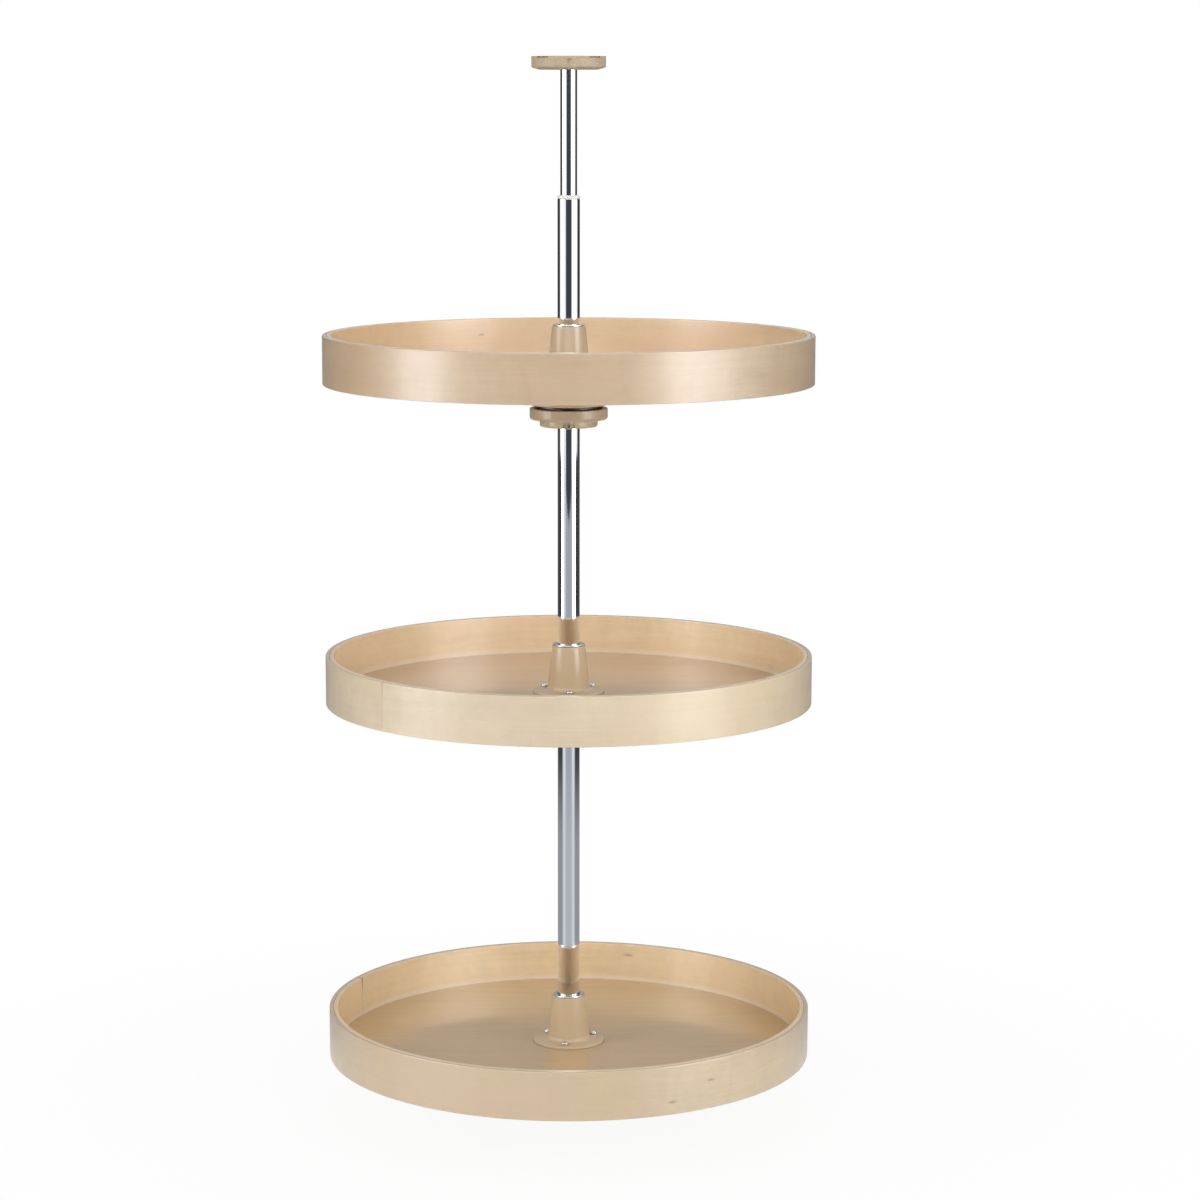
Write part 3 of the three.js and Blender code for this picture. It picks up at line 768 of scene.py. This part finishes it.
def hub_screw(tray, number):
    node = f"{tray}_hub_screw_{number}"
    bottom, top = low(node), high(node)
    under = top - SCREW_HEAD_HEIGHT
    outline = rounded(
        [
            (0, bottom),
            (SCREW_SHANK_RADIUS, bottom, 0.5 * MM),
            (SCREW_SHANK_RADIUS, under),
            (SCREW_HEAD_RADIUS, under, 0.2 * MM),
            (SCREW_HEAD_RADIUS, top - 0.6 * MM, 1.3 * MM),
            (0, top),
        ]
    )
    screw = lathe(node + "_pan_head", outline, SMALL_STEPS)
    turn = radians(CROSS_TURNS[number - 1])
    carve(screw, [cross_blade(top, turn), cross_blade(top, turn + pi / 2)])
    place = screw_places(tray)[number - 1]
    shifted(screw, place.x, place.y)
    dress(screw, node, ZINC)


# ---- Bearings -----------------------------------------------------------------------------------
def race(face, centre, inwards=False):
    """The arc of a ball race from the inner to the outer side of the ball circle, or back."""
    start = asin((face - centre) / RACE_RADIUS)
    first, last = (pi - start, start) if face > centre else (-pi - start, start)
    points = []
    for k in range(RACE_STEPS + 1):
        turn = first + (last - first) * k / RACE_STEPS
        r, z = BALL_CIRCLE_RADIUS + RACE_RADIUS * cos(turn), centre + RACE_RADIUS * sin(turn)
        points.append((r, z))
    return points[::-1] if inwards else points


def bearing_housing(tray):
    node = tray + "_bearing_housing"
    outer, bottom, top = radius_of(node), low(node), high(node)
    core_floor = low(tray + "_outer_hoop") - HOUSING_CORE_DEPTH
    balls = (low(tray + "_ball_cage") + high(tray + "_ball_cage")) / 2
    outline = rounded(
        [
            (HOUSING_BORE_RADIUS, top - HOUSING_WEB),
            (HOUSING_RACE_INNER_RADIUS, top - HOUSING_WEB, 1 * MM),
            (HOUSING_RACE_INNER_RADIUS, bottom, 0.5 * MM),
            *race(bottom, balls),
            (outer, bottom, 1.3 * MM),
            (outer, top, 0.4 * MM),
            (HOUSING_CORE_OUTER_RADIUS, top),
            (HOUSING_CORE_OUTER_RADIUS, core_floor),
            (HOUSING_CORE_INNER_RADIUS, core_floor),
            (HOUSING_CORE_INNER_RADIUS, top),
            (HOUSING_BORE_RADIUS, top),
        ]
    )
    drum = lathe(tray + "_bearing_drum", outline)
    holes_end = low(tray + "_outer_hoop") - SCREW_HOLE_DEPTH
    dress(carve(drum, screw_holes(tray, holes_end, top + MM)), node, BEIGE)


def ball_cage(tray):
    """A flat ring with a round pocket for each ball, and the balls in them, as one piece."""
    node = tray + "_ball_cage"
    middle = (low(node) + high(node)) / 2
    half = CAGE_THICKNESS / 2
    inner = BALL_CIRCLE_RADIUS - CAGE_HALF_WIDTH
    outer = BALL_CIRCLE_RADIUS + CAGE_HALF_WIDTH
    outline = rounded(
        [
            (inner, middle - half, 0.3 * MM),
            (outer, middle - half, 0.3 * MM),
            (outer, middle + half, 0.3 * MM),
            (inner, middle + half, 0.3 * MM),
        ]
    )
    turns = [2 * pi * k / BALL_COUNT for k in range(BALL_COUNT)]
    pockets = []
    for turn in turns:
        pocket = rod("pocket", BALL_RADIUS + BALL_PLAY, middle - 2 * half, middle + 2 * half)
        pockets.append(at_angle(pocket, BALL_CIRCLE_RADIUS, turn))
    cage = carve(lathe(tray + "_ball_cage_and_balls", outline), pockets)
    shape = bmesh.new()
    shape.from_mesh(cage.data)
    for turn in turns:
        centre = (BALL_CIRCLE_RADIUS * cos(turn), BALL_CIRCLE_RADIUS * sin(turn), middle)
        bmesh.ops.create_uvsphere(
            shape,
            u_segments=28,
            v_segments=16,
            radius=BALL_RADIUS,
            matrix=Matrix.Translation(centre),
        )
    shape.to_mesh(cage.data)
    shape.free()
    dress(cage, node, STEEL)


def at_clamp(piece, tray):
    """Places a shape made along +Z, with the screw head's outer face at 0, at the collar's lower
    front edge, pointing out and down."""
    place = (0, -CLAMP_HEAD_OUT, low(tray + "_outer_hoop") - CLAMP_HEAD_DOWN)
    tilt = Matrix.Rotation(pi / 2 + CLAMP_TILT, 4, "X")
    return moved(piece, Matrix.Translation(place) @ tilt)


def clamp_reach(tube_radius):
    """How far the clamp screw reaches along its slant before its tip meets the post."""
    tip_drop = CLAMP_SHANK_RADIUS * sin(CLAMP_TILT)
    return (CLAMP_HEAD_OUT - tube_radius - SEAT - tip_drop) / cos(CLAMP_TILT)


def bearing_collar(tray):
    node = tray + "_bearing_collar"
    outer, bottom, top = radius_of(node), low(node), high(node)
    bore = radius_of("outer_tube") + SEAT
    balls = (low(tray + "_ball_cage") + high(tray + "_ball_cage")) / 2
    face = 2 * balls - low(tray + "_bearing_housing")
    underside = bottom + COLLAR_DISC_HEIGHT
    outline = rounded(
        [
            (bore, bottom, 0.5 * MM),
            (COLLAR_STEP_RADIUS, bottom, 2 * MM),
            (COLLAR_STEP_RADIUS, underside, 0.6 * MM),
            (outer, underside, 3.4 * MM),
            (outer, face, 1.1 * MM),
            *race(face, balls, inwards=True),
            (COLLAR_NECK_BASE_RADIUS, face, 0.8 * MM),
            (COLLAR_NECK_RADIUS, top, 0.6 * MM),
            (bore, top, 0.4 * MM),
        ]
    )
    pocket_floor = -CLAMP_HEAD_HEIGHT - SEAT
    pocket = rod("pocket", CLAMP_POCKET_RADIUS, pocket_floor, CLAMP_POCKET_REACH, 48)
    into_bore = (CLAMP_HEAD_OUT - bore / 2) / cos(CLAMP_TILT)
    shank_hole = rod("hole", CLAMP_SHANK_RADIUS + SEAT, -into_bore, 0)
    collar = lathe(tray + "_bearing_collar_moulding", outline)
    carve(collar, [at_clamp(pocket, tray), at_clamp(shank_hole, tray)])
    dress(collar, node, BEIGE)


def clamp_screw(tray):
    node = tray + "_clamp_screw"
    tip = -clamp_reach(radius_of("outer_tube"))
    outline = rounded(
        [
            (0, tip),
            (CLAMP_SHANK_RADIUS, tip, 0.6 * MM),
            (CLAMP_SHANK_RADIUS, -CLAMP_HEAD_HEIGHT, 0.3 * MM),
            (CLAMP_HEAD_RADIUS, -CLAMP_HEAD_HEIGHT, 0.3 * MM),
            (CLAMP_HEAD_RADIUS, 0, 0.9 * MM),
            (0, 0),
        ]
    )
    screw = lathe(tray + "_socket_screw", outline, 48)
    carve(screw, [rod("socket", CLAMP_SOCKET_RADIUS, -CLAMP_SOCKET_DEPTH, MM, 6)])
    dress(at_clamp(screw, tray), node, RING_METAL)


# ---- Post ---------------------------------------------------------------------------------------
def tube(node):
    outer, bottom, top = radius_of(node), low(node), high(node)
    bore = outer - TUBE_WALL
    outline = rounded(
        [
            (bore, bottom, 0.3 * MM),
            (outer, bottom, 0.4 * MM),
            (outer, top, 0.4 * MM),
            (bore, top, 0.3 * MM),
        ]
    )
    dress(lathe(node + "_drawn", outline), node, CHROME)


def guide_bush():
    node = "guide_bush"
    outer, bottom, top = radius_of(node), low(node), high(node)
    bore = radius_of("inner_tube") + SEAT
    sleeve = radius_of("outer_tube") - TUBE_WALL - SEAT
    shoulder = high("outer_tube") + SEAT
    outline = rounded(
        [
            (bore, bottom, 0.3 * MM),
            (sleeve, bottom, 0.6 * MM),
            (sleeve, shoulder),
            (outer, shoulder, 0.3 * MM),
            (outer, top, BUSH_LIP_ROUNDING),
            (bore, top, 0.5 * MM),
        ]
    )
    dress(lathe("guide_bush_moulding", outline), node, NYLON)


def sector(middle):
    """The outline of a cored pocket between two of a flange's screw spokes."""
    corners = [
        (POCKET_OUTER_RADIUS, -POCKET_HALF_ANGLE),
        (POCKET_OUTER_RADIUS, POCKET_HALF_ANGLE),
        (POCKET_INNER_RADIUS, POCKET_HALF_ANGLE),
        (POCKET_INNER_RADIUS, -POCKET_HALF_ANGLE),
    ]
    points = []
    for (r0, a0), (r1, a1) in zip(corners, corners[1:] + corners[:1]):
        for k in range(SECTOR_STEPS):
            share = k / SECTOR_STEPS
            r, a = r0 + (r1 - r0) * share, middle + a0 + (a1 - a0) * share
            points.append((r * cos(a), r * sin(a)))
    return points


def end_flange(node, tube_node, to_place):
    """A moulded flange, made with its flat face at height 0 and moved to its place."""
    outer = radius_of(node)
    height = high(node) - low(node)
    socket = radius_of(tube_node) + SEAT
    outline = rounded(
        [
            (0, 0),
            (outer, 0, 0.4 * MM),
            (outer, FLANGE_EDGE, 2.2 * MM),
            (FLANGE_CROWN_RADIUS, height, 4 * MM),
            (socket, height, 0.7 * MM),
            (socket, FLANGE_WEB),
            (0, FLANGE_WEB),
        ]
    )
    cutters = []
    for k in range(4):
        spoke = k * pi / 2
        between = spoke + pi / 4
        cutters.append(prism("pocket", sector(between), -MM, POCKET_DEPTH))
        screw_hole = [
            (0, -MM),
            (FLANGE_HOLE_RADIUS, -MM),
            (FLANGE_HOLE_RADIUS, FLANGE_HEAD_SEAT),
            (FLANGE_HEAD_RADIUS, FLANGE_HEAD_SEAT),
            (FLANGE_HEAD_RADIUS, height + MM),
            (0, height + MM),
        ]
        cutters.append(at_angle(lathe("hole", screw_hole, 32), FLANGE_SCREW_CIRCLE, spoke))
        grip = rod("grip", GRIP_WIDE_RADIUS, GRIP_FROM, GRIP_TO, 32, GRIP_NARROW_RADIUS)
        cutters.append(at_angle(grip, outer + GRIP_OUT, spoke))
        a, b = RIM_NOTCH_WIDTH / 2, RIM_NOTCH_REACH
        notch = prism("notch", ((-b, -a), (b, -a), (b, a), (-b, a)), RIM_LIP, RIM_NOTCH_DEPTH)
        cutters.append(at_angle(notch, outer, between))
    flange = carve(lathe(node + "_moulding", outline), cutters)
    dress(moved(flange, to_place), node, MATT_BEIGE)


# ---- Assembly -----------------------------------------------------------------------------------
for tray in TRAYS:
    bent_hoop(tray, "outer")
    bent_hoop(tray, "inner")
    deck(tray)
    hub(tray)
    hub_ring(tray)
    for number in (1, 2, 3):
        hub_screw(tray, number)
    bearing_housing(tray)
    ball_cage(tray)
    bearing_collar(tray)
    clamp_screw(tray)

tube("outer_tube")
tube("inner_tube")
guide_bush()
end_flange("floor_flange", "outer_tube", Matrix.Translation((0, 0, low("floor_flange"))))
upside_down = Matrix.Rotation(pi, 4, "X")
ceiling_place = Matrix.Translation((0, 0, high("top_flange"))) @ upside_down
end_flange("top_flange", "inner_tube", ceiling_place)

# The twist lock inside the post keeps its solids, with a nylon finish.
for node in ("lock_stud", "lock_cam"):
    solid = frame["nodes"][node]
    solid.data.materials.clear()
    solid.data.materials.append(NYLON)

# ---- Camera -------------------------------------------------------------------------------------
IMAGE_SIZE = 1200
FOCAL_LENGTH_PIXELS = 3276.2
SENSOR_WIDTH = 36
AXIS_LEFT_OF_CENTRE_PIXELS = 31.3
CAMERA_PLACE = (0, -3.7192, 1.1843)
CAMERA_TILT = radians(8.83)  # below level

camera_data = bpy.data.cameras.new("camera")
camera_data.sensor_width = SENSOR_WIDTH
camera_data.lens = SENSOR_WIDTH * FOCAL_LENGTH_PIXELS / IMAGE_SIZE
camera_data.shift_x = AXIS_LEFT_OF_CENTRE_PIXELS / IMAGE_SIZE
camera = bpy.data.objects.new("camera", camera_data)
camera.location = CAMERA_PLACE
camera.rotation_euler = (pi / 2 - CAMERA_TILT, 0, 0)
bpy.context.scene.collection.objects.link(camera)
bpy.context.scene.camera = camera


# ---- Light and ground ---------------------------------------------------------------------------
AIM_HEIGHT = 0.6  # the lamps' target on the post
WINDOW_DISTANCE = 20
WINDOW_WIDTH = 9


def softbox(name, azimuth, distance, height, width, tall, power):
    """A large soft lamp that faces the post. The azimuth is in degrees from the camera's side."""
    data = bpy.data.lights.new(name, "AREA")
    data.shape = "RECTANGLE"
    data.size, data.size_y = width, tall
    data.energy = power
    lamp = bpy.data.objects.new(name, data)
    turn = radians(azimuth)
    lamp.location = (distance * sin(turn), -distance * cos(turn), height)
    aim = Vector((0, 0, AIM_HEIGHT)) - lamp.location
    lamp.rotation_euler = aim.to_track_quat("-Z", "Y").to_euler()
    lamp.visible_camera = False
    bpy.context.scene.collection.objects.link(lamp)
    return lamp


def window(name, azimuth, height, tall, power):
    """A far, low strip of light that shows only as a sheen on lacquer, plastic and metal."""
    strip = softbox(name, azimuth, WINDOW_DISTANCE, height, WINDOW_WIDTH, tall, power)
    strip.visible_diffuse = False


softbox("left_softbox", -68, distance=2.4, height=1.1, width=1.1, tall=2.0, power=24)
softbox("right_softbox", 60, distance=2.4, height=1.1, width=1.5, tall=2.0, power=26.5)
softbox("front_softbox", 0, distance=2.6, height=1.6, width=2.6, tall=0.6, power=22.5)
window("left_window", -66, height=1.3, tall=1.4, power=325)
window("right_window", 54, height=2.0, tall=2.8, power=765)
softbox("top_softbox", 0, distance=0.4, height=2.9, width=2.4, tall=2.4, power=8)
softbox("rear_softbox", 172, distance=2.6, height=2.3, width=2.6, tall=1.2, power=12.5)

# What metal and lacquer mirror of the room and of its floor: degrees from the camera's side and
# a linear colour.
ROOM_STOPS = (
    (0, (0.045, 0.052, 0.07)),
    (26, (0.045, 0.052, 0.07)),
    (34, (1, 1, 1)),
    (98, (1, 1, 1)),
    (104, (0.03, 0.03, 0.035)),
    (142, (0.04, 0.04, 0.045)),
    (180, (0.35, 0.35, 0.36)),
)
# On the floor these stops are painted light that only mirror rays see: bright bands where the side
# softboxes' light would fall, and dark bands beside them.
FLOOR_STOPS = (
    (0, (0.36, 0.39, 0.43)),
    (28, (0.4, 0.43, 0.48)),
    (44, (0.78, 0.83, 0.88)),
    (56, (0.7, 0.75, 0.8)),
    (74, (0.04, 0.045, 0.05)),
    (132, (0.05, 0.055, 0.06)),
    (180, (0.35, 0.36, 0.38)),
)
WHITE = (1, 1, 1, 1)
CEILING = (0.8, 0.8, 0.8, 1)
EVEN_LIGHT = (0.36, 0.36, 0.36, 1)
NEAR_FLOOR = (0.55, 0.57, 0.59, 1)
FLOOR_LEFT, FLOOR_RIGHT = -7, 7
FLOOR_FRONT, FLOOR_BACK = -5.4, 7
FLOOR_TOP = -0.3 * MM
FLOOR_UNDERSIDE = -20 * MM


def azimuth_ramp(graph, x, y, stops):
    """A colour by the azimuth from the camera's side, with stops in degrees."""
    azimuth = graph.math("ABSOLUTE", graph.math("ARCTAN2", x, graph.math("MULTIPLY", y, -1.0)))
    node = graph.add("ValToRGB", {"Fac": graph.math("DIVIDE", azimuth, pi)}).node
    elements = node.color_ramp.elements
    while len(elements) < len(stops):
        elements.new(0.5)
    for element, (degrees, colour) in zip(elements, stops):
        element.position, element.color = degrees / 180, (*colour, 1)
    return node.outputs["Color"]


def mirror_ray(graph):
    path = graph.add("LightPath").node.outputs
    return graph.math("MAXIMUM", path["Is Glossy Ray"], path["Is Transmission Ray"])


def camera_ray(graph):
    return graph.add("LightPath", output="Is Camera Ray")


def studio_world():
    """White to the camera, and to other surfaces an even soft light. Metal and lacquer mirror a dark
    room behind the camera, bright walls at its sides, grey behind the shelf and a pale ceiling."""
    world = bpy.data.worlds.new("studio")
    world.use_nodes = True
    graph = Graph(world.node_tree)
    x, y, z = graph.split(graph.add("TexCoord", output="Generated"))
    room = azimuth_ramp(graph, x, y, ROOM_STOPS)
    room = graph.mix(graph.step(z, 0.5, 0.7), room, CEILING)
    seen = graph.mix(mirror_ray(graph), EVEN_LIGHT, room)
    seen = graph.mix(camera_ray(graph), seen, WHITE)
    background = graph.tree.nodes["Background"]
    graph.put(background, {"Color": seen, "Strength": 1.0})
    bpy.context.scene.world = world


def studio_floor():
    """A wide pale floor that turns plain white away from the shelf's shadow."""
    outline = (
        (FLOOR_LEFT, FLOOR_FRONT),
        (FLOOR_RIGHT, FLOOR_FRONT),
        (FLOOR_RIGHT, FLOOR_BACK),
        (FLOOR_LEFT, FLOOR_BACK),
    )
    floor = prism("floor", outline, FLOOR_UNDERSIDE, FLOOR_TOP)
    ground = Surface("pale_floor")
    place = ground.place()
    x, y, _ = ground.split(place)
    out = ground.length(ground.join(x, y, 0.0))
    speckle = ground.noise(place, scale=40, detail=2)
    tone = ground.mix(speckle, (0.88, 0.88, 0.88, 1), (0.9, 0.9, 0.9, 1))
    paint = ground.add("BsdfDiffuse", {"Color": tone})
    # To mirror rays the floor glows with painted light: the FLOOR_STOPS bands, half mixed with grey
    # NEAR_FLOOR out to 1.3 m from the post, and white within 0.3 m.
    room = azimuth_ramp(ground, x, y, FLOOR_STOPS)
    room = ground.mix(ground.step(out, 1.3, 2.2), ground.mix(0.5, room, NEAR_FLOOR), room)
    mirrored = mirror_ray(ground)
    lit = ground.mix(ground.math("MULTIPLY", mirrored, ground.step(out, 0.3, 0.6)), WHITE, room)
    white = ground.add("Emission", {"Color": lit, "Strength": 1.0})
    direct = ground.math("MAXIMUM", camera_ray(ground), mirrored)
    share = ground.math("MULTIPLY", direct, ground.step(out, 0.3, 1.1, 0.93, 1.0))
    surface = ground.add("MixShader", {0: share, 1: paint, 2: white})
    output = ground.tree.nodes["Material Output"]
    ground.tree.nodes.remove(ground.shader)
    ground.put(output, {"Surface": surface})
    floor.data.materials.append(ground.material)


studio_world()
studio_floor()
bpy.context.scene.view_settings.view_transform = "Standard"
